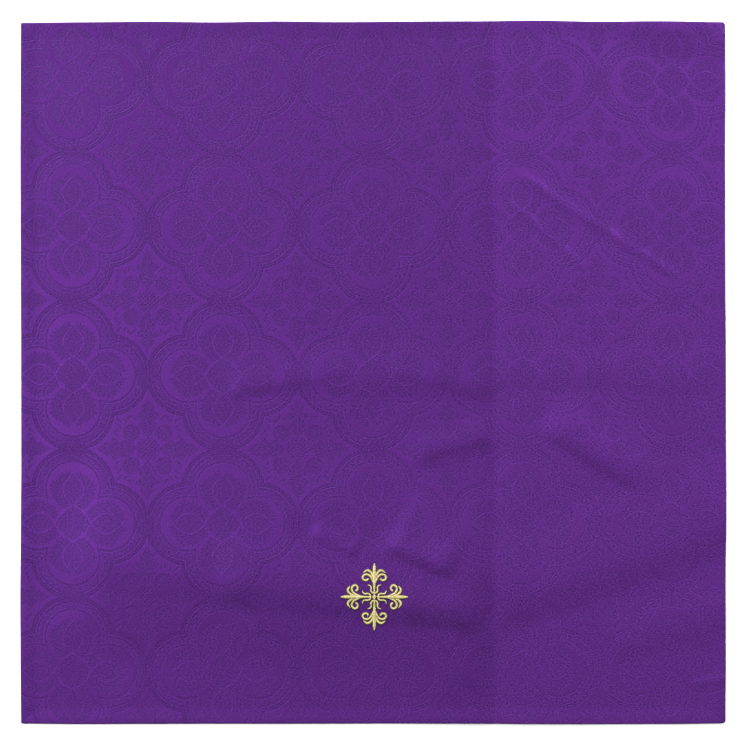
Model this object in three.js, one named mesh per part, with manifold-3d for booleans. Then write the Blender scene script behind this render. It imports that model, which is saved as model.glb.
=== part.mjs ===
// A chalice veil: a square of purple damask, bagged out and pressed, lying flat with its press folds and
// soft lifts, and a small cross fleury embroidered in gold thread near its front edge.
// Millimetres, +Z up. The origin is on the surface that the veil lies on, under the middle of the cloth.
// +X is to the right and +Y is away from the edge that carries the cross.
import * as THREE from "three";
import { mergeVertices } from "three/addons/utils/BufferGeometryUtils.js";
import Module from "manifold-3d";

// Driving dimensions of the cloth
const VEIL_WIDTH = 550;
const VEIL_DEPTH = 548;
const FIELD_THICKNESS = 1.4;
// The turned seam allowance lies inside the edge and makes a thicker band there.
const SEAM_BAND = 13;
const SEAM_THICKNESS = 2.0;
// The pressed edge is rounded: its top and bottom lines lie this far inside its outermost line.
const EDGE_ROUNDING = 0.7;

// Driving dimensions of the embroidery
const CROSS_CENTRE = { x: 1, y: -174.5 };
const EMBROIDERY_HEIGHT = 0.8;
const EMBROIDERY_GAP = 0.3;
// The knot at the centre runs out to this along the arms, and to its waist between them.
const KNOT_REACH = 3.3;
const KNOT_WAIST = 1.3;
// A stroke that ends wider than this has a round end, and a narrower one runs out to a point.
const POINTED_END = 0.6;

// Grid of the cloth: lines crowd at the seam band and are evenly spaced inside it.
const SEAM_LINES = [0, 5, SEAM_BAND];
const INNER_CELLS = 46;

// How far each edge bows out of straight, outwards positive, at even stations from corner to corner.
// The front and back edges run left to right, the side edges front to back.
const EDGE_BOW = {
  back: [-0.9, -0.4, 0.1, -0.5, 0.2, -0.3, 0.1, 0.2, 0.8, 0.0, 0.1, -0.6],
  front: [-0.2, 0.2, 0.0, -0.1, -0.1, -0.2, -0.3, -0.2, 0.1, 0.2, 0.1, -0.4],
  left: [-0.3, 0.1, 0.3, -0.1, -0.4, -0.4, -0.3, -0.1, 0.1, 0.2, 0.0, -0.2],
  right: [-0.1, 0.2, 0.0, 0.3, 0.4, 0.3, 0.2, -0.2, -0.3, -0.4, -0.1, -0.6],
};

// The lifts of the cloth. Each runs along a straight crest and falls to nothing over its left and right
// widths, as seen when looking from its start to its end, and over fade past each end of the crest.
const FOLDS = [
  // The lengthwise press fold is the valley between these two.
  { x0: 72, y0: -290, x1: 72, y1: 290, height: 0.5, left: 62, right: 26, fade: 20 },
  { x0: 116, y0: -290, x1: 116, y1: 290, height: 0.6, left: 24, right: 80, fade: 20 },
  // The crosswise press fold, left and right of the lengthwise one
  { x0: -96, y0: -4, x1: 84, y1: -4, height: 0.8, left: 32, right: 18, fade: 30 },
  { x0: 110, y0: 0, x1: 252, y1: -4, height: 0.5, left: 28, right: 16, fade: 24 },
  // The broad lift behind the cross, and the one that climbs to the right edge
  { x0: -200, y0: -142, x1: 80, y1: -164, height: 2.8, left: 115, right: 86, fade: 50 },
  { x0: 114, y0: -173, x1: 280, y1: -114, height: 1.8, left: 60, right: 30, fade: 26 },
  { x0: 74, y0: -140, x1: 74, y1: -232, height: 1.0, left: 20, right: 36, fade: 30 },
  // The sharper crests on the broad lift, before and behind the cross
  { x0: -215, y0: -146, x1: -110, y1: -161, height: 0.6, left: 50, right: 26, fade: 40 },
  { x0: -100, y0: -164, x1: 60, y1: -180, height: 1.3, left: 46, right: 24, fade: 30 },
  { x0: 30, y0: -184, x1: 72, y1: -190, height: 0.8, left: 22, right: 16, fade: 14 },
  { x0: 22, y0: -136, x1: 53, y1: -151, height: 1.2, left: 60, right: 10, fade: 14 },
  // Small lifts beside the cross, in the right half and at the right corners
  { x0: 15, y0: -137, x1: 56, y1: -148, height: 0.7, left: 16, right: 14, fade: 16 },
  { x0: 148, y0: -50, x1: 196, y1: -80, height: 0.9, left: 50, right: 11, fade: 20 },
  { x0: 40, y0: -62, x1: 84, y1: -52, height: 0.7, left: 22, right: 15, fade: 18 },
  { x0: 148, y0: -44, x1: 210, y1: -81, height: 0.9, left: 24, right: 16, fade: 20 },
  { x0: 196, y0: -207, x1: 272, y1: -187, height: 0.9, left: 28, right: 24, fade: 22 },
  { x0: 218, y0: 272, x1: 280, y1: 266, height: 1.6, left: 30, right: 26, fade: 34 },
];

// One arm of the cross, from the centre outwards. Each stroke is a line of satin stitch: along is the
// distance from the centre, across the distance from the arm's axis, and width the stroke's width there.
const SPEAR = [
  { along: 2.8, across: 0, width: 1.3 },
  { along: 5.4, across: 0, width: 1.5 },
  { along: 7.8, across: 0, width: 2.1 },
  { along: 10.0, across: 0, width: 2.8 },
  { along: 12.3, across: 0, width: 3.7 },
  { along: 14.5, across: 0, width: 4.9 },
  { along: 16.8, across: 0, width: 5.0 },
  { along: 18.6, across: 0, width: 3.8 },
  { along: 20.2, across: 0, width: 2.8 },
  { along: 22.0, across: 0, width: 2.9 },
  { along: 24.2, across: 0, width: 2.0 },
  { along: 25.9, across: 0, width: 0.9 },
];
// These are sewn on both sides of the arm's axis.
const SIDE_STROKES = {
  leaf: [
    { along: 16.0, across: 1.2, width: 1.4 },
    { along: 18.4, across: 2.2, width: 1.9 },
    { along: 20.2, across: 3.9, width: 2.1 },
    { along: 20.6, across: 5.7, width: 1.9 },
    { along: 19.7, across: 7.3, width: 1.4 },
    { along: 18.9, across: 8.4, width: 0.6 },
  ],
  scroll: [
    { along: 10.5, across: 0.4, width: 1.2 },
    { along: 13.8, across: 1.7, width: 1.8 },
    { along: 16.0, across: 3.0, width: 1.9 },
    { along: 17.3, across: 4.9, width: 1.8 },
    { along: 17.5, across: 6.9, width: 1.8 },
    { along: 16.4, across: 8.6, width: 1.9 },
    { along: 14.8, across: 9.1, width: 1.9 },
    { along: 13.4, across: 8.3, width: 1.8 },
    { along: 12.9, across: 6.7, width: 1.7 },
    { along: 13.4, across: 5.3, width: 1.7 },
    { along: 14.4, across: 4.9, width: 1.9 },
  ],
  tendril: [
    { along: 3.0, across: 0.0, width: 1.4 },
    { along: 3.3, across: 1.6, width: 1.5 },
    { along: 5.0, across: 2.6, width: 1.3 },
    { along: 7.1, across: 2.4, width: 1.0 },
    { along: 8.7, across: 3.2, width: 0.8 },
    { along: 9.3, across: 5.0, width: 0.3 },
  ],
};
const ARMS = 4;
const STEPS_PER_SPAN = 2;
const CAP_STEPS = 4;

// Shape of the cloth

const clamp = (value, low, high) => Math.min(high, Math.max(low, value));

// 1 at the middle and 0 from reach outwards, with no kink at either.
function bump(distance, reach) {
  const share = clamp(Math.abs(distance) / reach, 0, 1);
  return (1 - share * share) ** 2;
}

// How far one fold lifts the cloth at a point.
function liftOf(fold, x, y) {
  const length = Math.hypot(fold.x1 - fold.x0, fold.y1 - fold.y0);
  const alongX = (fold.x1 - fold.x0) / length;
  const alongY = (fold.y1 - fold.y0) / length;
  const along = (x - fold.x0) * alongX + (y - fold.y0) * alongY;
  const toLeft = (y - fold.y0) * alongX - (x - fold.x0) * alongY;
  const pastEnd = Math.max(0, -along, along - length);
  const width = toLeft > 0 ? fold.left : fold.right;
  return fold.height * bump(toLeft, width) * bump(pastEnd, fold.fade);
}

// Height of the underside of the cloth above the surface: 0 where it lies flat.
function undersideHeight(x, y) {
  return FOLDS.reduce((sum, fold) => sum + liftOf(fold, x, y), 0);
}

// Height of the face of the cloth, with the seam band thicker than the field.
function faceHeight(x, y) {
  const fromEdge = Math.min(VEIL_WIDTH / 2 - Math.abs(x), VEIL_DEPTH / 2 - Math.abs(y));
  const thicker = (SEAM_THICKNESS - FIELD_THICKNESS) * bump(Math.max(0, fromEdge), SEAM_BAND);
  return undersideHeight(x, y) + FIELD_THICKNESS + thicker;
}

// The bow of an edge at a share of its length, smooth through its stations.
function bowAt(stations, share) {
  const place = clamp(share, 0, 1) * (stations.length - 1);
  const before = Math.min(Math.floor(place), stations.length - 2);
  const ease = (1 - Math.cos(Math.PI * (place - before))) / 2;
  return stations[before] * (1 - ease) + stations[before + 1] * ease;
}

// Takes a point of the true rectangle to the cloth's own, slightly uneven outline.
function toOutline(x, y, inset) {
  const shareX = x / VEIL_WIDTH + 0.5;
  const shareY = y / VEIL_DEPTH + 0.5;
  const bowX = -bowAt(EDGE_BOW.left, shareY) * (1 - shareX) + bowAt(EDGE_BOW.right, shareY) * shareX;
  const bowY = -bowAt(EDGE_BOW.front, shareX) * (1 - shareY) + bowAt(EDGE_BOW.back, shareX) * shareY;
  const shrinkX = 1 - (2 * inset) / VEIL_WIDTH;
  const shrinkY = 1 - (2 * inset) / VEIL_DEPTH;
  return [(x + bowX) * shrinkX, (y + bowY) * shrinkY];
}

// The grid lines along one side of the cloth, from edge to edge.
function gridLines(length) {
  const half = length / 2;
  const inner = half - SEAM_BAND;
  const lines = SEAM_LINES.slice(0, -1).map((line) => line - half);
  for (let i = 0; i <= INNER_CELLS; i++) lines.push(inner * ((2 * i) / INNER_CELLS - 1));
  return lines.concat(SEAM_LINES.slice(0, -1).reverse().map((line) => half - line));
}

// The cloth as one closed sheet: a face, an underside, and a rim through the outermost line.
function clothGeometry() {
  const columns = gridLines(VEIL_WIDTH);
  const rows = gridLines(VEIL_DEPTH);
  const across = columns.length;
  const layer = across * rows.length;
  const positions = [];
  const triangles = [];
  const quad = (a, b, c, d) => triangles.push(a, b, c, a, c, d);

  for (const heightAt of [faceHeight, undersideHeight]) {
    for (const y of rows) {
      for (const x of columns) {
        const [px, py] = toOutline(x, y, EDGE_ROUNDING);
        positions.push(px, py, heightAt(x, y));
      }
    }
  }
  for (let j = 0; j < rows.length - 1; j++) {
    for (let i = 0; i < across - 1; i++) {
      const a = j * across + i;
      quad(a, a + 1, a + across + 1, a + across);
      quad(layer + a, layer + a + across, layer + a + across + 1, layer + a + 1);
    }
  }

  // The rim runs anticlockwise round the grid, seen from above.
  const last = rows.length - 1;
  const rim = [];
  for (let i = 0; i < across - 1; i++) rim.push([i, 0]);
  for (let j = 0; j < last; j++) rim.push([across - 1, j]);
  for (let i = across - 1; i > 0; i--) rim.push([i, last]);
  for (let j = last; j > 0; j--) rim.push([0, j]);
  rim.forEach(([i, j]) => {
    const [px, py] = toOutline(columns[i], rows[j], 0);
    const middle = (faceHeight(columns[i], rows[j]) + undersideHeight(columns[i], rows[j])) / 2;
    positions.push(px, py, middle);
  });
  rim.forEach(([i, j], k) => {
    const next = (k + 1) % rim.length;
    const top = j * across + i;
    const topNext = rim[next][1] * across + rim[next][0];
    const outer = 2 * layer + k;
    const outerNext = 2 * layer + next;
    quad(top, outer, outerNext, topNext);
    quad(outer, layer + top, layer + topNext, outerNext);
  });

  const geometry = new THREE.BufferGeometry();
  geometry.setAttribute("position", new THREE.Float32BufferAttribute(positions, 3));
  geometry.setIndex(triangles);
  geometry.computeVertexNormals();
  return geometry;
}

// Shape of the embroidery

const wasm = await Module();
wasm.setup();

// The outline of a stroke: its centre line, offset by half its width on both sides, with a round end
// where it doesn't run out to a point.
function strokeShape(stations, side) {
  const line = new THREE.SplineCurve(stations.map((s) => new THREE.Vector2(s.along, s.across * side)));
  const steps = (stations.length - 1) * STEPS_PER_SPAN;
  const leftEdge = [];
  const rightEdge = [];
  for (let i = 0; i <= steps; i++) {
    const share = i / steps;
    const place = share * (stations.length - 1);
    const before = Math.min(Math.floor(place), stations.length - 2);
    const half = THREE.MathUtils.lerp(stations[before].width, stations[before + 1].width, place - before) / 2;
    const point = line.getPoint(share);
    const along = line.getTangent(share);
    const normal = new THREE.Vector2(-along.y, along.x).multiplyScalar(half);
    leftEdge.push(point.clone().add(normal));
    rightEdge.push(point.clone().sub(normal));
  }
  const end = line.getPoint(1);
  const spoke = leftEdge.at(-1).clone().sub(end);
  const cap = [];
  for (let i = 1; i < CAP_STEPS && 2 * spoke.length() > POINTED_END; i++) {
    cap.push(spoke.clone().rotateAround(new THREE.Vector2(), (-Math.PI * i) / CAP_STEPS).add(end));
  }
  return new THREE.Shape([...leftEdge, ...cap, ...rightEdge.reverse()]);
}

// A flat outline, turned about the cross's centre and given the embroidery's height, as a solid.
function raisedSolid(shape, turn) {
  const raised = new THREE.ExtrudeGeometry(shape, { depth: EMBROIDERY_HEIGHT, bevelEnabled: false });
  raised.rotateZ(turn);
  raised.deleteAttribute("normal");
  raised.deleteAttribute("uv");
  const merged = mergeVertices(raised, 1e-4);
  return new wasm.Manifold(
    new wasm.Mesh({
      numProp: 3,
      vertProperties: merged.attributes.position.array,
      triVerts: new Uint32Array(merged.index.array),
    }),
  );
}

// The small four-pointed knot at the centre, whose points meet the four arms.
function knotShape() {
  const points = [];
  for (let i = 0; i < 2 * ARMS; i++) {
    const reach = i % 2 ? KNOT_WAIST : KNOT_REACH;
    const angle = (Math.PI * i) / ARMS;
    points.push(new THREE.Vector2(reach * Math.cos(angle), reach * Math.sin(angle)));
  }
  return new THREE.Shape(points);
}

// All strokes joined into one solid that follows the face of the cloth.
function crossGeometry() {
  let cross = raisedSolid(knotShape(), 0);
  for (let arm = 0; arm < ARMS; arm++) {
    const turn = (2 * Math.PI * arm) / ARMS;
    cross = cross.add(raisedSolid(strokeShape(SPEAR, 1), turn));
    for (const stroke of Object.values(SIDE_STROKES)) {
      for (const side of [-1, 1]) cross = cross.add(raisedSolid(strokeShape(stroke, side), turn));
    }
  }
  const mesh = cross.getMesh();
  const positions = [];
  for (let i = 0; i < mesh.numVert; i++) {
    const [x, y, z] = mesh.vertProperties.subarray(i * mesh.numProp, i * mesh.numProp + 3);
    const onFace = faceHeight(x + CROSS_CENTRE.x, y + CROSS_CENTRE.y);
    positions.push(x, y, z + onFace + EMBROIDERY_GAP);
  }
  const geometry = new THREE.BufferGeometry();
  geometry.setAttribute("position", new THREE.Float32BufferAttribute(positions, 3));
  geometry.setIndex([...mesh.triVerts]);
  geometry.computeVertexNormals();
  return geometry;
}

// Damask: a matt woven purple, a little glossy where the satin ground shows
const damask = new THREE.MeshStandardMaterial({ color: 0x5f2f87, roughness: 0.6, metalness: 0 });
// Gold embroidery thread with a soft metallic sheen
const goldThread = new THREE.MeshStandardMaterial({ color: 0xc8bd80, roughness: 0.45, metalness: 0.3 });

const cloth = new THREE.Mesh(clothGeometry(), damask);
cloth.name = "veil_cloth";

const cross = new THREE.Mesh(crossGeometry(), goldThread);
cross.name = "embroidered_cross";
cross.position.set(CROSS_CENTRE.x, CROSS_CENTRE.y, 0);

const veil = new THREE.Group();
veil.add(cloth, cross);
export default veil;
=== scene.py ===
import math
import random

import bpy
import numpy as np
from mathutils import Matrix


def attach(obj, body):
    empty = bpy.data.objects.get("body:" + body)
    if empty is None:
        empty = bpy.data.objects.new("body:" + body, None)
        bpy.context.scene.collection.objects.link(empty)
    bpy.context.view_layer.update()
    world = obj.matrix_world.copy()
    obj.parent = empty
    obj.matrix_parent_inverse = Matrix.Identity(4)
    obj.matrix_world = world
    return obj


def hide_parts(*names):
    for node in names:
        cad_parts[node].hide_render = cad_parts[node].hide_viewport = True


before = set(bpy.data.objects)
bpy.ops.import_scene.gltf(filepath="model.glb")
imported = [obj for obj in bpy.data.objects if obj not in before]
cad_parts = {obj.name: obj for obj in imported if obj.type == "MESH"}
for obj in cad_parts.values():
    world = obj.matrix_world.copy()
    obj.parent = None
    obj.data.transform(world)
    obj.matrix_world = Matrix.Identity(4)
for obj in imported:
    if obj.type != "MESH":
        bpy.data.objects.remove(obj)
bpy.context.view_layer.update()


# The view: the veil lies face up and is seen from straight above, as on a copying stand, with a
# narrow white margin on all four sides. Width and centre are in metres.
VIEW_WIDTH = 0.5854
VIEW_CENTRE = (0.0015, -0.0002)
LENS_MM = 100
SENSOR_MM = 36

camera_data = bpy.data.cameras.new("copying_stand_camera")
camera_data.lens = LENS_MM
camera_data.sensor_width = SENSOR_MM
camera = bpy.data.objects.new("copying_stand_camera", camera_data)
camera.location = (*VIEW_CENTRE, VIEW_WIDTH * LENS_MM / SENSOR_MM)
bpy.context.scene.collection.objects.link(camera)
bpy.context.scene.camera = camera
bpy.context.scene.view_settings.view_transform = "Standard"


# The light: a white room with two soft boxes and a wide window. The left box brings out the satin and
# the figure, the window far behind shades the folds, and the right box keeps that side from going dull.
SKY_COLOUR = "#ffffff"
SKY_STRENGTH = 0.40
SOFT_LIGHTS = [
    # name, place in metres, width in metres, power in watts
    ("left_soft_box", (-1.0, 0.0, 1.3), 0.5, 19.0),
    ("far_window", (-2.6, 5.0, 2.0), 3.1, 1130.0),
    ("right_soft_box", (1.5, 0.9, 1.2), 1.2, 56.0),
]


def linear(hex_colour):
    """An sRGB hex colour, such as #5f2f87, as the linear colour that a socket holds."""
    channels = [int(hex_colour[i:i + 2], 16) / 255 for i in (1, 3, 5)]
    return [c / 12.92 if c <= 0.04045 else ((c + 0.055) / 1.055) ** 2.4 for c in channels] + [1.0]


world = bpy.data.worlds.new("white_studio")
world.use_nodes = True
sky = world.node_tree.nodes["Background"]
sky.inputs["Color"].default_value = linear(SKY_COLOUR)
sky.inputs["Strength"].default_value = SKY_STRENGTH
bpy.context.scene.world = world

for name, place, width, power in SOFT_LIGHTS:
    light_data = bpy.data.lights.new(name, "AREA")
    light_data.shape = "SQUARE"
    light_data.size = width
    light_data.energy = power
    light = bpy.data.objects.new(name, light_data)
    light.location = place
    toward_cloth = -light.location
    light.rotation_euler = toward_cloth.to_track_quat("-Z", "Y").to_euler()
    bpy.context.scene.collection.objects.link(light)


# The table: a wide worktop of matt white laminate. It is as plain as paper, and its edges lie far
# outside the view. Sizes are in metres.
TABLE_HALF = 4.0
TABLE_LEVEL = -0.0003
TABLE_CORNERS = [(-1, -1), (1, -1), (1, 1), (-1, 1)]
LAMINATE_COLOUR = "#fafafa"


def add(tree, kind, sockets=(), **settings):
    """Adds a node with its settings. Sockets go by order or by name, and each takes a value or a link."""
    node = tree.nodes.new(kind)
    for name, value in settings.items():
        setattr(node, name, value)
    for key, value in sockets.items() if isinstance(sockets, dict) else enumerate(sockets):
        if isinstance(value, bpy.types.Node):
            value = value.outputs[0]
        if isinstance(value, bpy.types.NodeSocket):
            tree.links.new(value, node.inputs[key])
        elif value is not None:
            node.inputs[key].default_value = value
    return node


def new_material(name):
    """A named material with an empty tree but for its output."""
    material = bpy.data.materials.new(name)
    material.use_nodes = True
    material.node_tree.nodes.clear()
    return material, material.node_tree


table_mesh = bpy.data.meshes.new("white_table")
table_corners = [(x * TABLE_HALF, y * TABLE_HALF, TABLE_LEVEL) for x, y in TABLE_CORNERS]
table_mesh.from_pydata(table_corners, [], [(0, 1, 2, 3)])
table = bpy.data.objects.new("white_table", table_mesh)
bpy.context.scene.collection.objects.link(table)

laminate, tree = new_material("white_laminate")
shader = add(tree, "ShaderNodeBsdfPrincipled", {
    "Base Color": linear(LAMINATE_COLOUR),
    "Roughness": 0.7,
})
add(tree, "ShaderNodeOutputMaterial", {"Surface": shader})
table_mesh.materials.append(laminate)


# The veil: a square of jacquard damask, bagged out with its seam allowance turned inside, pressed in
# folds and opened again. It lies face up, flat but for soft lifts, and its edge is a small roll.
# Lengths are in millimetres.
MM = 0.001
VEIL_WIDTH = 550
VEIL_DEPTH = 548
FIELD_THICKNESS = 1.4
SEAM_BAND = 13
SEAM_THICKNESS = 2.0
CORNER_RADIUS = {"left": 0.8, "right": 2.6}
# How far each edge bows out of straight, at even stations from corner to corner
EDGE_BOW = {
    "back": [-0.9, -0.4, 0.1, -0.5, 0.2, -0.3, 0.1, 0.2, 0.8, 0.0, 0.1, -0.6],
    "front": [-0.2, 0.2, 0.0, -0.1, -0.1, -0.2, -0.3, -0.2, 0.1, 0.2, 0.1, -0.4],
    "left": [-0.3, 0.1, 0.3, -0.1, -0.4, -0.4, -0.3, -0.1, 0.1, 0.2, 0.0, -0.2],
    "right": [-0.1, 0.2, 0.0, 0.3, 0.4, 0.3, 0.2, -0.2, -0.3, -0.4, -0.1, -0.6],
}
# The lifts of the cloth. Each runs along a straight crest and falls to nothing over its left and right
# widths, and over fade past each end.
LIFTS = [
    # x0, y0, x1, y1, height, left, right, fade
    (72, -290, 72, 290, 0.5, 62, 26, 20),
    (116, -290, 116, 290, 0.6, 24, 80, 20),
    (-96, -4, 84, -4, 0.8, 32, 18, 30),
    (110, 0, 252, -4, 0.5, 28, 16, 24),
    (-200, -142, 80, -164, 2.8, 115, 86, 50),
    (114, -173, 280, -114, 1.8, 60, 30, 26),
    (74, -140, 74, -232, 1.0, 20, 36, 30),
    (-215, -146, -110, -161, 0.6, 50, 26, 40),
    (-100, -164, 60, -180, 1.3, 46, 24, 30),
    (30, -184, 72, -190, 0.8, 22, 16, 14),
    (22, -136, 53, -151, 1.2, 60, 10, 14),
    (15, -137, 56, -148, 0.7, 16, 14, 16),
    (148, -50, 196, -80, 0.9, 50, 11, 20),
    (40, -62, 84, -52, 0.7, 22, 15, 18),
    (148, -44, 210, -81, 0.9, 24, 16, 20),
    (196, -207, 272, -187, 0.9, 28, 24, 22),
    (218, 272, 280, 266, 1.6, 30, 26, 34),
]
# Fine creases, which lift only the face. The long one is the lengthwise press fold.
CREASES = [
    # x0, y0, x1, y1, height, left, right, fade
    (-42, -126, -18, -138, 0.8, 12, 8, 8),
    (-105, -13, -24, 2, 0.35, 16, 9, 10),
    (20, 2, 88, -16, 0.35, 16, 9, 8),
    (46, -60, 82, -51, 0.45, 18, 9, 12),
    (91, -290, 91, 290, 0.6, 24, 5, 20),
    (122, 150, 232, 80, 0.6, 5, 6, 16),
    (115, 127, 158, 88, 0.5, 5, 5, 14),
    (255, -243, 276, -240, 0.5, 5, 4, 6),
]
# Lines of the mesh near each edge, as distances from the first one. The lines inside them are even.
EDGE_LINES = [0, 0.5, 1.0, 1.6, 2.4, 3.4, 4.6, 6, 8, 10, 11.5, 12.5, 13.5, 14.5, 16, 18]
INNER_CELLS = 246
UNDERSIDE_STRIDE = 3
ROLL_RADIUS = 1.0
# Degrees round the roll at which it has a line, from the face down to the underside
ROLL_TURNS = [65, 40, 15, -15, -50]
NEAR_ZERO = 1e-9
# Slight unevenness all over, from waves of many directions
WAVE_COUNT = 26
WAVE_LENGTHS = (24, 110)
WAVE_SLOPE = 0.0022
SEED = 11


def bump(distance, reach):
    """1 at the middle and 0 from reach outwards, with no kink at either."""
    return (1 - np.clip(np.abs(distance) / reach, 0, 1) ** 2) ** 2


def lift_of(fold, x, y):
    """How far one fold or crease lifts the cloth."""
    x0, y0, x1, y1, height, left, right, fade = fold
    length = math.hypot(x1 - x0, y1 - y0)
    along_x, along_y = (x1 - x0) / length, (y1 - y0) / length
    along = (x - x0) * along_x + (y - y0) * along_y
    to_left = (y - y0) * along_x - (x - x0) * along_y
    past_end = np.maximum(0, np.maximum(-along, along - length))
    return height * bump(to_left, np.where(to_left > 0, left, right)) * bump(past_end, fade)


def underside_height(x, y):
    """How far the cloth's back stands off the table."""
    return sum(lift_of(fold, x, y) for fold in LIFTS)


def face_height(x, y):
    """The face over the underside: the thicker seam band, the fine creases and the slight waves."""
    from_edge = np.minimum(VEIL_WIDTH / 2 - np.abs(x), VEIL_DEPTH / 2 - np.abs(y))
    height = underside_height(x, y) + FIELD_THICKNESS
    height = height + (SEAM_THICKNESS - FIELD_THICKNESS) * bump(np.maximum(0, from_edge), SEAM_BAND)
    height = height + sum(lift_of(crease, x, y) for crease in CREASES)
    chance = random.Random(SEED)
    for _ in range(WAVE_COUNT):
        heading = chance.uniform(0, math.pi)
        length = chance.uniform(*WAVE_LENGTHS)
        phase = chance.uniform(0, 2 * math.pi)
        along = x * math.cos(heading) + y * math.sin(heading)
        height = height + WAVE_SLOPE * length / (2 * math.pi) * np.sin(2 * math.pi * along / length + phase)
    return height


def bow_at(stations, share):
    """How far an edge bows out at a share of its length, eased between its stations."""
    place = np.clip(share, 0, 1) * (len(stations) - 1)
    before = np.minimum(place.astype(int), len(stations) - 2)
    ease = (1 - np.cos(math.pi * (place - before))) / 2
    stations = np.array(stations)
    return stations[before] * (1 - ease) + stations[before + 1] * ease


def to_outline(x, y, inset):
    """Takes points of the true rectangle to the cloth's own outline, with its corners rounded."""
    from_side, from_end = VEIL_WIDTH / 2 - np.abs(x), VEIL_DEPTH / 2 - np.abs(y)
    radius = np.where(x < 0, CORNER_RADIUS["left"], CORNER_RADIUS["right"])
    side_past = np.maximum(radius - from_side, NEAR_ZERO)
    end_past = np.maximum(radius - from_end, NEAR_ZERO)
    pull = 1 - np.maximum(side_past, end_past) / np.hypot(side_past, end_past)
    x = x - np.sign(x) * side_past * pull * (end_past > NEAR_ZERO)
    y = y - np.sign(y) * end_past * pull * (side_past > NEAR_ZERO)
    share_x, share_y = x / VEIL_WIDTH + 0.5, y / VEIL_DEPTH + 0.5
    bow_x = bow_at(EDGE_BOW["right"], share_y) * share_x - bow_at(EDGE_BOW["left"], share_y) * (1 - share_x)
    bow_y = bow_at(EDGE_BOW["back"], share_x) * share_y - bow_at(EDGE_BOW["front"], share_x) * (1 - share_y)
    return (x + bow_x) * (1 - 2 * inset / VEIL_WIDTH), (y + bow_y) * (1 - 2 * inset / VEIL_DEPTH)


def grid_lines(length):
    """Places of the mesh's lines from edge to edge: close at the seam band and even between."""
    half = length / 2
    inner = half - EDGE_LINES[-1]
    near = [line - half for line in EDGE_LINES]
    even = [inner * (2 * i / INNER_CELLS - 1) for i in range(1, INNER_CELLS)]
    return np.array(near + even + [-line for line in reversed(near)])


def grid_faces(across, down, first, upward):
    """Quads of a grid whose corners are numbered row by row from first."""
    faces = []
    for j in range(down - 1):
        for i in range(across - 1):
            a = first + j * across + i
            quad = (a, a + 1, a + across + 1, a + across)
            faces.append(quad if upward else quad[::-1])
    return faces


def rim_walk(across, down):
    """Numbers of a grid's outermost corners, anticlockwise seen from above."""
    walk = list(range(across - 1))
    walk += [j * across + across - 1 for j in range(down - 1)]
    walk += [(down - 1) * across + i for i in range(across - 1, 0, -1)]
    walk += [j * across for j in range(down - 1, 0, -1)]
    return walk


columns, rows = grid_lines(VEIL_WIDTH), grid_lines(VEIL_DEPTH)
flat_x, flat_y = (grid.ravel() for grid in np.meshgrid(columns, rows))
face_x, face_y = to_outline(flat_x, flat_y, ROLL_RADIUS)
face_z = face_height(flat_x, flat_y)
corners = [np.column_stack((face_x, face_y, face_z))]
places = [np.column_stack((flat_x, flat_y))]
rolled = [np.zeros(len(flat_x))]
faces = grid_faces(len(columns), len(rows), 0, True)
count = len(flat_x)

# The rolled edge, ring by ring down to the underside
rim = np.array(rim_walk(len(columns), len(rows)))
rim_x, rim_y = flat_x[rim], flat_y[rim]
rim_top, rim_bottom = face_z[rim], underside_height(rim_x, rim_y)
ring_before = list(rim)
for turn in ROLL_TURNS:
    angle = math.radians(turn)
    ring_x, ring_y = to_outline(rim_x, rim_y, ROLL_RADIUS * (1 - math.cos(angle)))
    ring_z = (rim_top + rim_bottom) / 2 + (rim_top - rim_bottom) / 2 * math.sin(angle)
    corners.append(np.column_stack((ring_x, ring_y, ring_z)))
    places.append(np.column_stack((rim_x, rim_y)))
    rolled.append(np.full(len(rim), math.cos(angle)))
    ring = list(range(count, count + len(rim)))
    for k in range(len(rim)):
        after = (k + 1) % len(rim)
        faces.append((ring_before[k], ring[k], ring[after], ring_before[after]))
    ring_before = ring
    count += len(rim)

# The underside, with one line for every three of the face, and narrow faces that join the two
under_columns, under_rows = columns[::UNDERSIDE_STRIDE], rows[::UNDERSIDE_STRIDE]
under_flat_x, under_flat_y = (grid.ravel() for grid in np.meshgrid(under_columns, under_rows))
under_x, under_y = to_outline(under_flat_x, under_flat_y, ROLL_RADIUS)
corners.append(np.column_stack((under_x, under_y, underside_height(under_flat_x, under_flat_y))))
places.append(np.column_stack((under_flat_x, under_flat_y)))
rolled.append(np.zeros(len(under_x)))
faces += grid_faces(len(under_columns), len(under_rows), count, False)
under_rim = [count + k for k in rim_walk(len(under_columns), len(under_rows))]
for k, corner in enumerate(under_rim):
    next_corner = under_rim[(k + 1) % len(under_rim)]
    first = k * UNDERSIDE_STRIDE
    outer = [ring_before[(first + step) % len(ring_before)] for step in range(UNDERSIDE_STRIDE + 1)]
    faces.append((outer[0], corner, outer[1]))
    faces.append((outer[1], corner, next_corner, outer[2]))
    faces.append((outer[2], next_corner, outer[3]))

cloth_mesh = bpy.data.meshes.new("damask_veil")
cloth_mesh.from_pydata((np.concatenate(corners) * MM).tolist(), [], faces)
cloth_mesh.shade_smooth()
# Each point keeps its flat place in metres for the pattern, and how far the edge is turned there,
# which sets the painted shade on the roll.
loop_corners = np.empty(len(cloth_mesh.loops), dtype=int)
cloth_mesh.loops.foreach_get("vertex_index", loop_corners)
flat_map = cloth_mesh.uv_layers.new(name="flat_place")
flat_map.data.foreach_set("uv", (np.concatenate(places) * MM)[loop_corners].ravel())
turned = cloth_mesh.attributes.new("turned_edge", "FLOAT", "POINT")
turned.data.foreach_set("value", np.concatenate(rolled))
cloth = bpy.data.objects.new("damask_veil", cloth_mesh)
bpy.context.scene.collection.objects.link(cloth)


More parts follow.
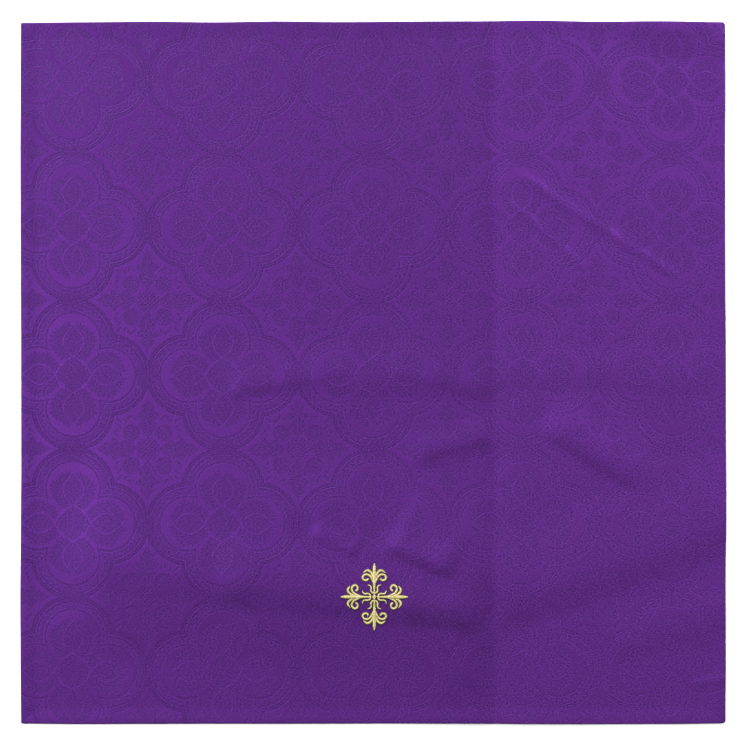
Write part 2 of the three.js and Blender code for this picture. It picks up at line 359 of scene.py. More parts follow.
# The damask's figure: a dull weft weave on a ground of warp satin. The repeat is a quatrefoil with a
# palmette in each lobe and a leaf cross between the quatrefoils, and it mirrors on both axes and both
# diagonals. Lengths are in millimetres, and 1 is the densest figure and 0 the satin.
REPEAT_WIDTH = 117.2
REPEAT_DEPTH = 115.5
QUATREFOIL_CENTRE = (-117.6, -118.3)
HALF_REPEAT = REPEAT_WIDTH / 2
# How far the weft bows back at both sides, and how far its picks gather to the right
WEFT_BOW = 2.0
WEFT_GATHER = 2.3
# Palmettes, leaves and the places where four bands meet are a little less dense than the bands.
LEAF_DENSITY = 0.75
LOBE_DISTANCE = 27.6
# The bands round a lobe, as distance from its centre and density
LOBE_BANDS = [
    (20.4, 0), (20.8, 0.85), (22.2, 0.85), (22.45, 0), (22.95, 0), (23.2, 0.7), (27.4, 0.7), (27.7, 1),
    (28.35, 1), (28.6, 0), (29.2, 0), (29.45, 1), (30.4, 1), (30.7, 0.6), (31.1, 0.6), (31.4, 1),
    (32.5, 1), (32.9, 0),
]
# Thin satin lines in the bands, and the zigzag vine in the broadest one
LOBE_LINES = [22.7, 28.9]
LOBE_LINE_HALF = 0.3
VINE_MIDDLE = 25.4
VINE_SWING = 1.5
VINE_PITCH = 5.2
VINE_HALF = 0.32
# The palmette's reach from the lobe's centre, by the angle from its outward axis in degrees
PALMETTE_REACH = [
    (0, 10.6), (7, 12.8), (13, 15.2), (30, 14.8), (45, 15.2), (58, 16.6), (72, 18.4), (84, 19.8),
    (100, 19.2), (125, 20.0), (180, 20.4),
]
PALMETTE_TEETH = 16
PALMETTE_TOOTH = 0.16
PALMETTE_GAP_HALF = 0.45
# Half widths of the almond inside the palmette, by distance from the quatrefoil's centre
ALMOND = [
    (14.0, 0), (17.0, 3.4), (20.5, 6.2), (24.0, 7.8), (27.0, 8.1), (30.0, 7.2), (33.0, 5.3), (36.0, 3.1),
    (38.0, 1.5), (39.4, 0),
]
# The almond's line is drawn only this far before and behind its middle, so that its ends stay open.
ALMOND_MIDDLE = 26.7
ALMOND_REACH = 12.8
ALMOND_LINE_HALF = 0.45
# The roundel in the middle has eight straight sides, this far out and square to this direction.
ROUNDEL_NORMAL = (0.842, 0.539, 0)
ROUNDEL_REACH = 12.3
ROUNDEL_LINE_HALF = 0.5
# Half widths of the long leaf, by distance from the middle of the gap between four quatrefoils
LONG_LEAF = [
    (8.6, 0), (11.0, 2.2), (14.0, 4.9), (17.5, 7.0), (19.5, 6.9), (21.5, 5.2), (23.0, 5.4), (25.0, 8.6),
    (27.0, 9.3), (28.5, 7.2), (29.5, 4.8), (31.5, 5.0), (33.5, 5.4), (35.0, 3.9), (36.5, 2.2), (38.0, 1.4),
    (40.5, 0),
]
# Round and oval figures by the diagonals, as distance along and off the diagonal, and both half sizes
SATIN_LOZENGES = [(12.6, 0, 2.5, 2.3), (17.2, 0, 2.0, 1.5), (22.0, 0, 2.2, 1.8)]
GAP_LEAVES = [
    (18.1, 0, 6.6, 6.6), (32.2, 0, 2.8, 1.2), (28.0, 7.6, 1.3, 2.3), (28.6, 3.4, 2.2, 1.2),
    (24.6, 9.4, 1.9, 1.1),
]
OVAL_SOFTNESS = 0.1
JUNCTION_REACH = 9.5
JUNCTION_SOFTNESS = 1.2
# The rosette in the middle of the gap is a lattice of small figures.
ROSETTE_REACH = 8.8
ROSETTE_SOFTNESS = 1.0
ROSETTE_PITCH = 2.4
ROSETTE_OPENING = 0.4
ROSETTE_BLUR = 0.35


def by_station(tree, distance, stations):
    """Reads a short table of (distance, value) along a distance, straight between its rows."""
    first, last = stations[0][0], stations[-1][0]
    highest = max(value for _, value in stations)
    share = add(tree, "ShaderNodeMapRange", {"Value": distance, "From Min": first, "From Max": last})
    ramp = add(tree, "ShaderNodeValToRGB", (share,))
    elements = ramp.color_ramp.elements
    while len(elements) < len(stations):
        elements.new(0.5)
    for element, (at, value) in zip(elements, stations):
        element.position = (at - first) / (last - first)
        element.color = (value / highest,) * 3 + (1,)
    return add(tree, "ShaderNodeMath", (ramp, highest), operation="MULTIPLY")


def under(tree, distance, limit, softness=0.2):
    """1 where a distance in mm is under its limit and 0 where it is over, soft by about half a thread."""
    left = add(tree, "ShaderNodeMath", (distance, limit), operation="SUBTRACT")
    return add(tree, "ShaderNodeMapRange", {
        "Value": left, "From Min": softness, "From Max": -softness, "To Min": 0.0, "To Max": 1.0,
    })


def line(tree, distance, middle, half_width):
    """1 on a thin line along which a distance in mm has its middle value."""
    off = add(tree, "ShaderNodeMath", (distance, middle), operation="SUBTRACT")
    off = add(tree, "ShaderNodeMath", (off,), operation="ABSOLUTE")
    return under(tree, off, half_width)


def ovals(tree, diagonal_place, table):
    """1 on any of the ovals of a table."""
    union = None
    for along, off, half_along, half_off in table:
        away = add(tree, "ShaderNodeVectorMath", (diagonal_place, (along, off, 0)), operation="SUBTRACT")
        shares = (1 / half_along, 1 / half_off, 0)
        away = add(tree, "ShaderNodeVectorMath", (away, shares), operation="MULTIPLY")
        away = add(tree, "ShaderNodeVectorMath", (away,), operation="LENGTH").outputs["Value"]
        inside = under(tree, away, 1.0, OVAL_SOFTNESS)
        if union is not None:
            inside = add(tree, "ShaderNodeMath", (union, inside), operation="MAXIMUM")
        union = inside
    return union


def cut(tree, figure, satin):
    """Takes a satin shape out of a figure."""
    kept = add(tree, "ShaderNodeMath", (1.0, satin), operation="SUBTRACT")
    return add(tree, "ShaderNodeMath", (figure, kept), operation="MULTIPLY")


def diagonal(tree, out, side):
    """The distance off the diagonal, and the place as distances along and off it."""
    total = add(tree, "ShaderNodeMath", (out, side), operation="ADD")
    along = add(tree, "ShaderNodeMath", (total, math.sqrt(0.5)), operation="MULTIPLY")
    spread = add(tree, "ShaderNodeMath", (out, side), operation="SUBTRACT")
    off = add(tree, "ShaderNodeMath", (spread, math.sqrt(0.5)), operation="MULTIPLY")
    return off, add(tree, "ShaderNodeCombineXYZ", (along, off, 0.0))


def damask_figure(tree, flat_mm):
    """How dense the figure is at a flat place, and the thin satin lines that get a painted highlight."""
    # The bow and the gather of the weft
    shares = (2 / VEIL_WIDTH, 2 / VEIL_DEPTH, 0)
    part = add(tree, "ShaderNodeVectorMath", (flat_mm, shares), operation="MULTIPLY")
    part = add(tree, "ShaderNodeSeparateXYZ", (part,))
    bow = add(tree, "ShaderNodeMath", (part.outputs["X"], -WEFT_BOW), operation="MULTIPLY")
    bow = add(tree, "ShaderNodeMath", (part.outputs["Y"], WEFT_GATHER, bow), operation="MULTIPLY_ADD")
    bow = add(tree, "ShaderNodeMath", (part.outputs["X"], bow), operation="MULTIPLY")
    bow = add(tree, "ShaderNodeCombineXYZ", (0.0, bow, 0.0))
    flat_mm = add(tree, "ShaderNodeVectorMath", (flat_mm, bow), operation="ADD")
    # The place in the repeat, from the quatrefoil's centre and folded to one eighth
    turns = (1 / REPEAT_WIDTH, 1 / REPEAT_DEPTH, 0)
    centre_x, centre_y = QUATREFOIL_CENTRE
    start = (0.5 - centre_x / REPEAT_WIDTH, 0.5 - centre_y / REPEAT_DEPTH, 0)
    place = add(tree, "ShaderNodeVectorMath", (flat_mm, turns, start), operation="MULTIPLY_ADD")
    place = add(tree, "ShaderNodeVectorMath", (place,), operation="FRACTION")
    place = add(tree, "ShaderNodeVectorMath", (place, (0.5, 0.5, 0)), operation="SUBTRACT")
    place = add(tree, "ShaderNodeVectorMath", (place,), operation="ABSOLUTE")
    place = add(tree, "ShaderNodeVectorMath", (place, (REPEAT_WIDTH, REPEAT_WIDTH, 0)), operation="MULTIPLY")
    split = add(tree, "ShaderNodeSeparateXYZ", (place,))
    out = add(tree, "ShaderNodeMath", (split.outputs["X"], split.outputs["Y"]), operation="MAXIMUM")
    side = add(tree, "ShaderNodeMath", (split.outputs["X"], split.outputs["Y"]), operation="MINIMUM")
    place = add(tree, "ShaderNodeCombineXYZ", (out, side, 0.0))

    # Bands round the lobes, with a zigzag vine in the broad one
    from_lobe = add(tree, "ShaderNodeMath", (out, LOBE_DISTANCE), operation="SUBTRACT")
    reach = add(tree, "ShaderNodeVectorMath", (place, (LOBE_DISTANCE, 0, 0)), operation="DISTANCE")
    reach = reach.outputs["Value"]
    angle = add(tree, "ShaderNodeMath", (side, from_lobe), operation="ARCTAN2")
    figure = by_station(tree, reach, LOBE_BANDS)
    thin_lines = [line(tree, reach, ring, LOBE_LINE_HALF) for ring in LOBE_LINES]
    run = add(tree, "ShaderNodeMath", (angle, VINE_MIDDLE), operation="MULTIPLY")
    swing = add(tree, "ShaderNodeMath", (run, VINE_PITCH / 2), operation="PINGPONG")
    slope = 4 * VINE_SWING / VINE_PITCH
    swing = add(tree, "ShaderNodeMath", (swing, slope, VINE_MIDDLE - VINE_SWING), operation="MULTIPLY_ADD")
    vine = line(tree, reach, swing, VINE_HALF)
    figure = cut(tree, figure, vine)

    # Palmettes, with a light line between neighbours and an almond inside
    degrees = add(tree, "ShaderNodeMath", (angle,), operation="DEGREES")
    teeth = add(tree, "ShaderNodeMath", (degrees, PALMETTE_TEETH / 180), operation="MULTIPLY")
    teeth = add(tree, "ShaderNodeMath", (teeth,), operation="FRACT")
    teeth = add(tree, "ShaderNodeMath", (teeth, -PALMETTE_TOOTH, 1.0), operation="MULTIPLY_ADD")
    palmette_reach = by_station(tree, degrees, PALMETTE_REACH)
    palmette_reach = add(tree, "ShaderNodeMath", (palmette_reach, teeth), operation="MULTIPLY")
    palmette = under(tree, reach, palmette_reach)
    off, diagonal_place = diagonal(tree, out, side)
    palmette = cut(tree, palmette, under(tree, off, PALMETTE_GAP_HALF))
    almond = line(tree, side, by_station(tree, out, ALMOND), ALMOND_LINE_HALF)
    almond_ends = line(tree, out, ALMOND_MIDDLE, ALMOND_REACH)
    almond = add(tree, "ShaderNodeMath", (almond, almond_ends), operation="MULTIPLY")
    palmette = cut(tree, palmette, almond)

    # The roundel, which covers the bands' ends
    rim_distance = add(tree, "ShaderNodeVectorMath", (place, ROUNDEL_NORMAL), operation="DOT_PRODUCT")
    rim_distance = rim_distance.outputs["Value"]
    roundel = under(tree, rim_distance, ROUNDEL_REACH)
    figure = cut(tree, figure, roundel)
    thin_lines = [cut(tree, ring, roundel) for ring in (*thin_lines, vine)]
    middle = add(tree, "ShaderNodeMath", (palmette, roundel), operation="MAXIMUM")
    roundel_line = line(tree, rim_distance, ROUNDEL_REACH, ROUNDEL_LINE_HALF)
    middle = cut(tree, middle, roundel_line)
    thin_lines += [almond, roundel_line]
    middle = cut(tree, middle, ovals(tree, diagonal_place, SATIN_LOZENGES))
    middle = add(tree, "ShaderNodeMath", (middle, LEAF_DENSITY), operation="MULTIPLY")
    figure = add(tree, "ShaderNodeMath", (figure, middle), operation="MAXIMUM")

    # Where four bands meet, the figure is plain.
    junction = add(tree, "ShaderNodeVectorMath", (place, (HALF_REPEAT, 0, 0)), operation="DISTANCE")
    junction = under(tree, junction.outputs["Value"], JUNCTION_REACH, JUNCTION_SOFTNESS)
    plain = add(tree, "ShaderNodeMath", (junction, LEAF_DENSITY), operation="MULTIPLY")
    figure = add(tree, "ShaderNodeMath", (figure, plain), operation="MAXIMUM")
    painted_gleams = thin_lines[0]
    for thin_line in thin_lines[1:]:
        painted_gleams = add(tree, "ShaderNodeMath", (painted_gleams, thin_line), operation="MAXIMUM")
    painted_gleams = cut(tree, painted_gleams, junction)

    # The leaf cross between the quatrefoils, with the rosette in its middle
    gap_out = add(tree, "ShaderNodeMath", (HALF_REPEAT, side), operation="SUBTRACT")
    gap_side = add(tree, "ShaderNodeMath", (HALF_REPEAT, out), operation="SUBTRACT")
    _, gap_diagonal = diagonal(tree, gap_out, gap_side)
    leaves = under(tree, gap_side, by_station(tree, gap_out, LONG_LEAF))
    small_leaves = ovals(tree, gap_diagonal, GAP_LEAVES)
    leaves = add(tree, "ShaderNodeMath", (leaves, small_leaves), operation="MAXIMUM")
    from_middle = add(tree, "ShaderNodeVectorMath", (gap_diagonal,), operation="LENGTH").outputs["Value"]
    half_turns = (math.pi / ROSETTE_PITCH,) * 3
    lattice = add(tree, "ShaderNodeVectorMath", (gap_diagonal, half_turns), operation="MULTIPLY")
    lattice = add(tree, "ShaderNodeVectorMath", (lattice,), operation="SINE")
    lattice = add(tree, "ShaderNodeVectorMath", (lattice,), operation="ABSOLUTE")
    lattice = add(tree, "ShaderNodeSeparateXYZ", (lattice,))
    lattice = add(tree, "ShaderNodeMath", (lattice.outputs["X"], lattice.outputs["Y"]), operation="MINIMUM")
    lattice = under(tree, lattice, ROSETTE_OPENING, ROSETTE_BLUR)
    rosette = under(tree, from_middle, ROSETTE_REACH, ROSETTE_SOFTNESS)
    rosette = cut(tree, rosette, lattice)
    leaves = add(tree, "ShaderNodeMath", (leaves, LEAF_DENSITY), operation="MULTIPLY")
    leaves = add(tree, "ShaderNodeMath", (leaves, rosette), operation="MAXIMUM")
    return add(tree, "ShaderNodeMath", (figure, leaves), operation="MAXIMUM"), painted_gleams


# Purple damask of rayon and polyester: the satin is smooth and a little glossy, the weft figure duller
# and darker, and the turned edge darkest, which is painted shade on the roll.
SATIN_COLOUR = "#321446"
LEAF_COLOUR = "#2b113e"
BAND_COLOUR = "#240d34"
GLOSS_COLOUR = "#7b3db4"
SATIN_ROUGHNESS = 0.42
FIGURE_ROUGHNESS = 0.60
# Woven figures have a jagged edge, because they go by whole threads.
JAG_DENSITY = 0.9
JAG_SIZE = 0.8
# Streaks to the millimetre, across and along. Picks of weft are really 0.3 mm apart and are drawn about
# three times as coarse so that they show.
STREAK_DENSITY = (0.7, 1.15, 0)
GRAIN_STRENGTH = 0.78
SATIN_GRAIN = 0.4
# Painted sheen: the figure's contrast is painted stronger on the left and weaker to the right, in place
# of the left soft box's gloss on the satin.
PAINTED_SHEEN_LEFT = 1.1
PAINTED_SHEEN_RIGHT = 0.68
# Painted highlight on the thin satin lines between figures, with breaks along their way and weaker to
# the right.
PAINTED_GLEAM_STRENGTH = 0.42
PAINTED_GLEAM_RIGHT = 0.3
PAINTED_GLEAM_BREAK = 0.15
# Painted light: right of the lengthwise press fold the colour is painted brighter, as if that panel
# leaned toward the light.
PAINTED_LIGHT_FROM = 91
PAINTED_LIGHT_TO = 96
PAINTED_LIGHT_GAIN = 1.18
PAINTED_ROLL_SHADE = 0.55
# How far the figure sinks and the threads stand up, in millimetres
FIGURE_RELIEF = -0.09
GRAIN_RELIEF = 0.06

damask, tree = new_material("purple_jacquard_damask")
flat = add(tree, "ShaderNodeUVMap", uv_map="flat_place")
flat_mm = add(tree, "ShaderNodeVectorMath", (flat, (1 / MM, 1 / MM, 0)), operation="MULTIPLY")
jags = add(tree, "ShaderNodeTexNoise", {
    "Vector": flat_mm, "Scale": JAG_DENSITY, "Detail": 1.0,
}, noise_dimensions="2D")
jags = add(tree, "ShaderNodeVectorMath", (jags.outputs["Color"], (0.5, 0.5, 0.5)), operation="SUBTRACT")
jagged = add(tree, "ShaderNodeVectorMath", (jags, (JAG_SIZE, JAG_SIZE, 0), flat_mm), operation="MULTIPLY_ADD")
figure, painted_gleams = damask_figure(tree, jagged)
streak_place = add(tree, "ShaderNodeVectorMath", (flat_mm, STREAK_DENSITY), operation="MULTIPLY")
streaks = add(tree, "ShaderNodeTexNoise", {
    "Vector": streak_place, "Scale": 1.0, "Detail": 2.0, "Roughness": 0.6,
}, noise_dimensions="2D")
grain = add(tree, "ShaderNodeMapRange", {
    "Value": streaks, "From Min": 0.3, "From Max": 0.7, "To Min": -1.0, "To Max": 1.0,
})
grain_depth = add(tree, "ShaderNodeMapRange", {"Value": figure, "To Min": SATIN_GRAIN, "To Max": 1.0})
grain = add(tree, "ShaderNodeMath", (grain, grain_depth), operation="MULTIPLY")

# The colour: satin and figure with painted sheen, then grain, the painted highlight on thin lines, the
# painted light right of the press fold and the painted shade of the turned edge
place_across = add(tree, "ShaderNodeSeparateXYZ", (flat_mm,)).outputs["X"]
# Painted sheen: the figure's contrast is scaled down from left to right.
painted_sheen = add(tree, "ShaderNodeMapRange", {
    "Value": place_across, "From Min": -VEIL_WIDTH / 2, "From Max": VEIL_WIDTH / 4,
    "To Min": PAINTED_SHEEN_LEFT, "To Max": PAINTED_SHEEN_RIGHT,
})
figure_with_painted_sheen = add(tree, "ShaderNodeMath", (figure, painted_sheen), operation="MULTIPLY")
colour = add(tree, "ShaderNodeValToRGB", (figure_with_painted_sheen,))
colour.color_ramp.elements[0].color = linear(SATIN_COLOUR)
colour.color_ramp.elements[1].color = linear(BAND_COLOUR)
colour.color_ramp.elements.new(LEAF_DENSITY).color = linear(LEAF_COLOUR)
# Painted highlight on the thin satin lines, broken by the streaks and weaker where the painted sheen is.
unbroken = add(tree, "ShaderNodeMapRange", {
    "Value": streaks, "From Min": 0.4, "From Max": 0.6, "To Min": PAINTED_GLEAM_BREAK,
})
painted_gleams = add(tree, "ShaderNodeMath", (painted_gleams, unbroken), operation="MULTIPLY")
painted_gleam_falloff = add(tree, "ShaderNodeMapRange", {
    "Value": painted_sheen, "From Min": PAINTED_SHEEN_RIGHT, "From Max": PAINTED_SHEEN_LEFT, "To Min": PAINTED_GLEAM_RIGHT, "To Max": 1.0,
})
painted_gleams = add(tree, "ShaderNodeMath", (painted_gleams, painted_gleam_falloff), operation="MULTIPLY")
shade = add(tree, "ShaderNodeMath", (grain, GRAIN_STRENGTH, 1.0), operation="MULTIPLY_ADD")
shade = add(tree, "ShaderNodeMath", (painted_gleams, PAINTED_GLEAM_STRENGTH, shade), operation="MULTIPLY_ADD")
colour = add(tree, "ShaderNodeVectorMath", (colour, shade), operation="MULTIPLY")
# Painted light: the colour steps brighter right of the press fold.
painted_light_step = add(tree, "ShaderNodeMapRange", {
    "Value": place_across, "From Min": PAINTED_LIGHT_FROM, "From Max": PAINTED_LIGHT_TO, "To Min": 1.0, "To Max": PAINTED_LIGHT_GAIN,
})
colour = add(tree, "ShaderNodeVectorMath", (colour, painted_light_step), operation="MULTIPLY")
# Painted shade on the rolled edge, darker the further it turns under.
turned_edge = add(tree, "ShaderNodeAttribute", attribute_name="turned_edge")
darker = add(tree, "ShaderNodeMapRange", {
    "Value": turned_edge.outputs["Fac"], "To Min": 1.0, "To Max": PAINTED_ROLL_SHADE,
})
colour = add(tree, "ShaderNodeVectorMath", (colour, darker), operation="MULTIPLY")

# The gloss lies across the threads, which run to the back in the satin and to the sides in the figure.
roughness = add(tree, "ShaderNodeMapRange", {
    "Value": figure, "From Max": LEAF_DENSITY, "To Min": SATIN_ROUGHNESS, "To Max": FIGURE_ROUGHNESS,
})
across_threads = add(tree, "ShaderNodeTangent", direction_type="UV_MAP", uv_map="flat_place")
quarter_turn = add(tree, "ShaderNodeMapRange", {
    "Value": figure, "From Max": LEAF_DENSITY, "To Min": 0.0, "To Max": 0.25,
})
relief = add(tree, "ShaderNodeMath", (figure, FIGURE_RELIEF), operation="MULTIPLY")
relief = add(tree, "ShaderNodeMath", (grain, GRAIN_RELIEF, relief), operation="MULTIPLY_ADD")
bumped = add(tree, "ShaderNodeBump", {"Strength": 1.0, "Distance": MM, "Height": relief})
shader = add(tree, "ShaderNodeBsdfPrincipled", {
    "Base Color": colour,
    "Roughness": roughness,
    "IOR": 1.68,
    "Specular IOR Level": 1.0,
    "Specular Tint": linear(GLOSS_COLOUR),
    "Anisotropic": 0.55,
    "Anisotropic Rotation": quarter_turn,
    "Tangent": across_threads,
    "Normal": bumped,
})
add(tree, "ShaderNodeOutputMaterial", {"Surface": shader})
cloth_mesh.materials.append(damask)

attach(cloth, "root")
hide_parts("veil_cloth")


# The cross: machine satin stitch in gold embroidery thread over a pad of underlay stitches, worked
# through the face of the damask near its front edge. The pad's dark rim is a painted shadow. Lengths are
# in millimetres.
CROSS_CENTRE = (1, -174.5)
# One arm, from the centre outwards: how far along the arm, how far off its axis, and how wide
SPEAR = [
    (2.8, 0, 1.3), (5.4, 0, 1.5), (7.8, 0, 1.9), (10.0, 0, 2.3), (12.3, 0, 2.6), (14.5, 0, 3.0),
    (16.8, 0, 3.3), (18.6, 0, 3.2), (20.2, 0, 2.8), (22.0, 0, 2.9), (24.2, 0, 2.0), (25.9, 0, 0.9),
]
# These are sewn on both sides of the arm's axis.
SIDE_STROKES = {
    "leaf": [
        (16.0, 1.2, 1.4), (18.4, 2.2, 1.9), (20.2, 3.9, 2.1), (20.6, 5.7, 1.9), (19.7, 7.3, 1.4),
        (18.9, 8.4, 0.6),
    ],
    "scroll": [
        (10.5, 0.4, 1.2), (13.8, 1.7, 1.8), (16.0, 3.0, 1.9), (17.3, 4.9, 1.8), (17.5, 6.9, 1.8),
        (16.4, 8.6, 1.9), (14.8, 9.1, 1.9), (13.4, 8.3, 1.8), (12.9, 6.7, 1.7), (13.4, 5.3, 1.7),
        (14.4, 4.9, 1.9),
    ],
    "tendril": [
        (3.0, 0.0, 1.5), (3.3, 1.6, 1.6), (5.0, 2.6, 1.5), (7.1, 2.4, 1.3), (8.7, 3.2, 1.1),
        (9.3, 5.0, 0.7),
    ],
}
KNOT = [(-2.5, 0, 0.4), (-1.3, 0, 1.9), (0, 0, 4.0), (1.3, 0, 1.9), (2.5, 0, 0.4)]
ARMS = 4
STEPS_PER_SPAN = 8
NARROWEST_STROKE = 0.3
# Strokes of a higher layer are worked over the ends of the lower ones.
LAYER_STEP = 0.04
SPEAR_LAYER = 2
KNOT_LAYER = 1


def spline(stations, steps):
    """Points of a smooth line through the stations, with steps to each span."""
    rows = [np.array(row, dtype=float) for row in stations]
    rows = [rows[0]] + rows + [rows[-1]]
    points = []
    for before, start, end, after in zip(rows, rows[1:], rows[2:], rows[3:]):
        for step in range(steps):
            t = step / steps
            points.append(0.5 * (2 * start + (end - before) * t
                                 + (2 * before - 5 * start + 4 * end - after) * t ** 2
                                 + (3 * start - before - 3 * end + after) * t ** 3))
    return points + [rows[-1]]


stroke_points, stroke_edges, half_widths, layers = [], [], [], []


def lay_stroke(stations, side, turn, layer):
    """Adds one stroke to the cross, mirrored by side and turned about the centre."""
    first = len(stroke_points)
    for along, across, width in spline(stations, STEPS_PER_SPAN):
        across *= side
        x = CROSS_CENTRE[0] + along * math.cos(turn) - across * math.sin(turn)
        y = CROSS_CENTRE[1] + along * math.sin(turn) + across * math.cos(turn)
        stroke_points.append((x, y))
        half_widths.append(max(width, NARROWEST_STROKE) / 2 * MM)
        layers.append(layer * LAYER_STEP * MM)
    stroke_edges.extend((k, k + 1) for k in range(first, len(stroke_points) - 1))


for arm in range(ARMS):
    turn = 2 * math.pi * arm / ARMS
    for layer, stations in enumerate(SIDE_STROKES.values()):
        for side in (-1, 1):
            lay_stroke(stations, side, turn, layer % 2)
    lay_stroke(SPEAR, 1, turn, SPEAR_LAYER)
lay_stroke(KNOT, 1, math.pi / 2, KNOT_LAYER)

stroke_x, stroke_y = np.array(stroke_points).T
stroke_z = face_height(stroke_x, stroke_y)
strokes_mesh = bpy.data.meshes.new("cross_strokes")
stroke_corners = np.column_stack((stroke_x, stroke_y, stroke_z)) * MM
strokes_mesh.from_pydata(stroke_corners.tolist(), stroke_edges, [])
strokes_mesh.attributes.new("half_width", "FLOAT", "POINT").data.foreach_set("value", half_widths)
strokes_mesh.attributes.new("layer", "FLOAT", "POINT").data.foreach_set("value", layers)
strokes = bpy.data.objects.new("cross_strokes", strokes_mesh)
bpy.context.scene.collection.objects.link(strokes)

# Gold embroidery thread: rayon with a soft metallic lustre, pale on the crown of each stitch and
# browner at its feet, which is painted shade. The darkest tone is a painted shadow on the pad, which
# shows as a dark rim round the stitches.
CROWN_COLOUR = "#b4ad78"
FOOT_SHADE_COLOUR = "#80703a"
FOOT_SHADE_TONE = 0.3
PAD_SHADOW_COLOUR = "#1f1418"

gold_thread, tree = new_material("gold_embroidery_thread")
# The ramp runs from the pad's painted shadow through the painted shade at the feet to the crown.
tone = add(tree, "ShaderNodeAttribute", attribute_name="tone_and_painted_shade")
colour = add(tree, "ShaderNodeValToRGB", (tone.outputs["Fac"],))
colour.color_ramp.elements[0].color = linear(PAD_SHADOW_COLOUR)
colour.color_ramp.elements[1].color = linear(CROWN_COLOUR)
colour.color_ramp.elements.new(FOOT_SHADE_TONE).color = linear(FOOT_SHADE_COLOUR)
shader = add(tree, "ShaderNodeBsdfPrincipled", {
    "Base Color": colour,
    "Roughness": 0.55,
    "Metallic": 0.2,
})
add(tree, "ShaderNodeOutputMaterial", {"Surface": shader})

# Satin stitches: one thread arched across the stroke at every pitch, slanting and slightly uneven, over
# a pad that is a little wider than the stroke and dark as a painted shadow
stitching = bpy.data.node_groups.new("satin_stitch", "GeometryNodeTree")
stitch_sizes = {
    "Thread pitch": 0.34 * MM,
    "Thread radius": 0.19 * MM,
    "Crown": 0.24,
    "Least crown": 0.26 * MM,
    "Pad crown": 0.2,
    "Painted foot shade": 0.24,
    "Least tone": 0.55,
    "Painted shadow rim": 0.42 * MM,
    "Thread draw": 0.2 * MM,
    "Slant": math.radians(8),
    "Unevenness": math.radians(3),
}
stitching.interface.new_socket("Strokes", in_out="INPUT", socket_type="NodeSocketGeometry")
for name, size in stitch_sizes.items():
    socket = stitching.interface.new_socket(name, in_out="INPUT", socket_type="NodeSocketFloat")
    socket.default_value = size
stitching.interface.new_socket("Seed", in_out="INPUT", socket_type="NodeSocketInt")
stitching.interface.new_socket("Embroidery", in_out="OUTPUT", socket_type="NodeSocketGeometry")
given = add(stitching, "NodeGroupInput").outputs

half_width = add(stitching, "GeometryNodeInputNamedAttribute", {"Name": "half_width"}, data_type="FLOAT")
layer = add(stitching, "GeometryNodeInputNamedAttribute", {"Name": "layer"}, data_type="FLOAT")
lines = add(stitching, "GeometryNodeMeshToCurve", {"Mesh": given["Strokes"]})
lift = add(stitching, "ShaderNodeCombineXYZ", {"Z": layer.outputs["Attribute"]})
lines = add(stitching, "GeometryNodeSetPosition", {"Geometry": lines, "Offset": lift})

# The pad: a low half round under the threads, whose rim beyond the stroke is a painted shadow
stitch_points = add(stitching, "GeometryNodeResampleCurve", {
    "Curve": lines, "Length": given["Thread pitch"],
}, mode="LENGTH")
half_round = add(stitching, "GeometryNodeCurvePrimitiveCircle", {"Resolution": 10, "Radius": 1.0})
flatten = add(stitching, "ShaderNodeCombineXYZ", {"X": 1.0, "Y": given["Pad crown"], "Z": 1.0})
half_round = add(stitching, "GeometryNodeTransform", {
    "Geometry": half_round.outputs["Curve"], "Scale": flatten,
})
upright = add(stitching, "GeometryNodeSetCurveNormal", {"Curve": stitch_points}, mode="Z_UP")
half_width = half_width.outputs["Attribute"]
# The pad reaches past the stroke by the width of the painted shadow rim.
pad_half = add(stitching, "ShaderNodeMath", (half_width, given["Painted shadow rim"]), operation="ADD")
pad = add(stitching, "GeometryNodeCurveToMesh", {
    "Curve": upright, "Profile Curve": half_round, "Scale": pad_half, "Fill Caps": True,
})

# The threads
arch = add(stitching, "GeometryNodeCurveArc", {
    "Resolution": 9, "Radius": 1.0, "Start Angle": 0.0, "Sweep Angle": math.pi,
})
arch = add(stitching, "GeometryNodeTransform", {
    "Geometry": arch.outputs["Curve"], "Rotation": (math.pi / 2, 0, math.pi / 2),
})
run = add(stitching, "GeometryNodeInputTangent")
# Sockets 2 and 3 of a random number are its least and its greatest.
sway = add(stitching, "FunctionNodeRandomValue", {
    2: -1.0, 3: 1.0, "Seed": given["Seed"],
}, data_type="FLOAT").outputs[1]
sway = add(stitching, "ShaderNodeMath", (sway, given["Unevenness"], given["Slant"]), operation="MULTIPLY_ADD")
aim = add(stitching, "ShaderNodeVectorRotate", {"Vector": run, "Angle": sway}, rotation_type="Z_AXIS")
aim = add(stitching, "FunctionNodeAlignRotationToVector", {"Vector": aim}, axis="X", pivot_axis="Z")
crown = add(stitching, "ShaderNodeMath", (half_width, given["Crown"], given["Least crown"]),
            operation="MULTIPLY_ADD")
reach = add(stitching, "ShaderNodeMath", (half_width, given["Thread draw"]), operation="SUBTRACT")
size = add(stitching, "ShaderNodeCombineXYZ", (1.0, reach, crown))
threads = add(stitching, "GeometryNodeInstanceOnPoints", {
    "Points": stitch_points, "Instance": arch, "Rotation": aim, "Scale": size,
})
tone = add(stitching, "FunctionNodeRandomValue", {
    2: given["Least tone"], 3: 1.0, "Seed": given["Seed"],
}, data_type="FLOAT").outputs[1]
threads = add(stitching, "GeometryNodeStoreNamedAttribute", {
    "Geometry": threads, "Name": "tone_and_painted_shade", "Value": tone,
}, data_type="FLOAT", domain="INSTANCE")
threads = add(stitching, "GeometryNodeRealizeInstances", {"Geometry": threads})
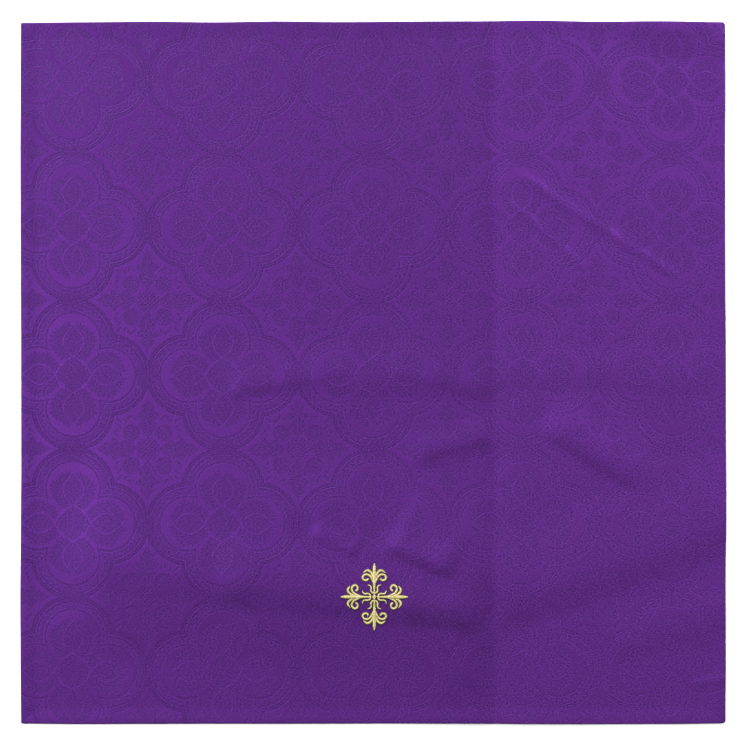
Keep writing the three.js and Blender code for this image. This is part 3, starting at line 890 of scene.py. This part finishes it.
# Painted shade: each thread darkens toward its feet, where its neighbours and the pad would shade it.
along = add(stitching, "GeometryNodeSplineParameter")
foot = add(stitching, "ShaderNodeMath", (along.outputs["Factor"], 0.5), operation="PINGPONG")
foot = add(stitching, "ShaderNodeMapRange", {
    "Value": foot, "From Max": given["Painted foot shade"], "To Min": 0.0, "To Max": 1.0,
})
tone = add(stitching, "GeometryNodeInputNamedAttribute", {"Name": "tone_and_painted_shade"}, data_type="FLOAT")
tone = add(stitching, "ShaderNodeMath", (tone.outputs["Attribute"], foot), operation="MULTIPLY")
threads = add(stitching, "GeometryNodeStoreNamedAttribute", {
    "Geometry": threads, "Name": "tone_and_painted_shade", "Value": tone,
}, data_type="FLOAT", domain="POINT")
thread_section = add(stitching, "GeometryNodeCurvePrimitiveCircle", {
    "Resolution": 5, "Radius": given["Thread radius"],
})
threads = add(stitching, "GeometryNodeCurveToMesh", {
    "Curve": threads, "Profile Curve": thread_section.outputs["Curve"], "Fill Caps": True,
})
both = add(stitching, "GeometryNodeJoinGeometry")
stitching.links.new(pad.outputs[0], both.inputs[0])
stitching.links.new(threads.outputs[0], both.inputs[0])
smooth = add(stitching, "GeometryNodeSetShadeSmooth", {"Geometry": both})
whole = add(stitching, "GeometryNodeRealizeInstances", {"Geometry": smooth})
thread_material = add(stitching, "GeometryNodeSetMaterial", {"Geometry": whole, "Material": gold_thread})
add(stitching, "NodeGroupOutput", {"Embroidery": thread_material})

stitcher = strokes.modifiers.new("satin_stitch", "NODES")
stitcher.node_group = stitching
for item in stitching.interface.items_tree:
    if item.in_out == "INPUT" and item.name in stitch_sizes:
        stitcher[item.identifier] = stitch_sizes[item.name]
    if item.name == "Seed":
        stitcher[item.identifier] = SEED
stitched = strokes.evaluated_get(bpy.context.evaluated_depsgraph_get())
cross_mesh = bpy.data.meshes.new_from_object(stitched)
strokes.modifiers.remove(stitcher)
bpy.data.objects.remove(strokes)
cross = bpy.data.objects.new("gold_cross", cross_mesh)
bpy.context.scene.collection.objects.link(cross)

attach(cross, "root")
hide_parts("embroidered_cross")
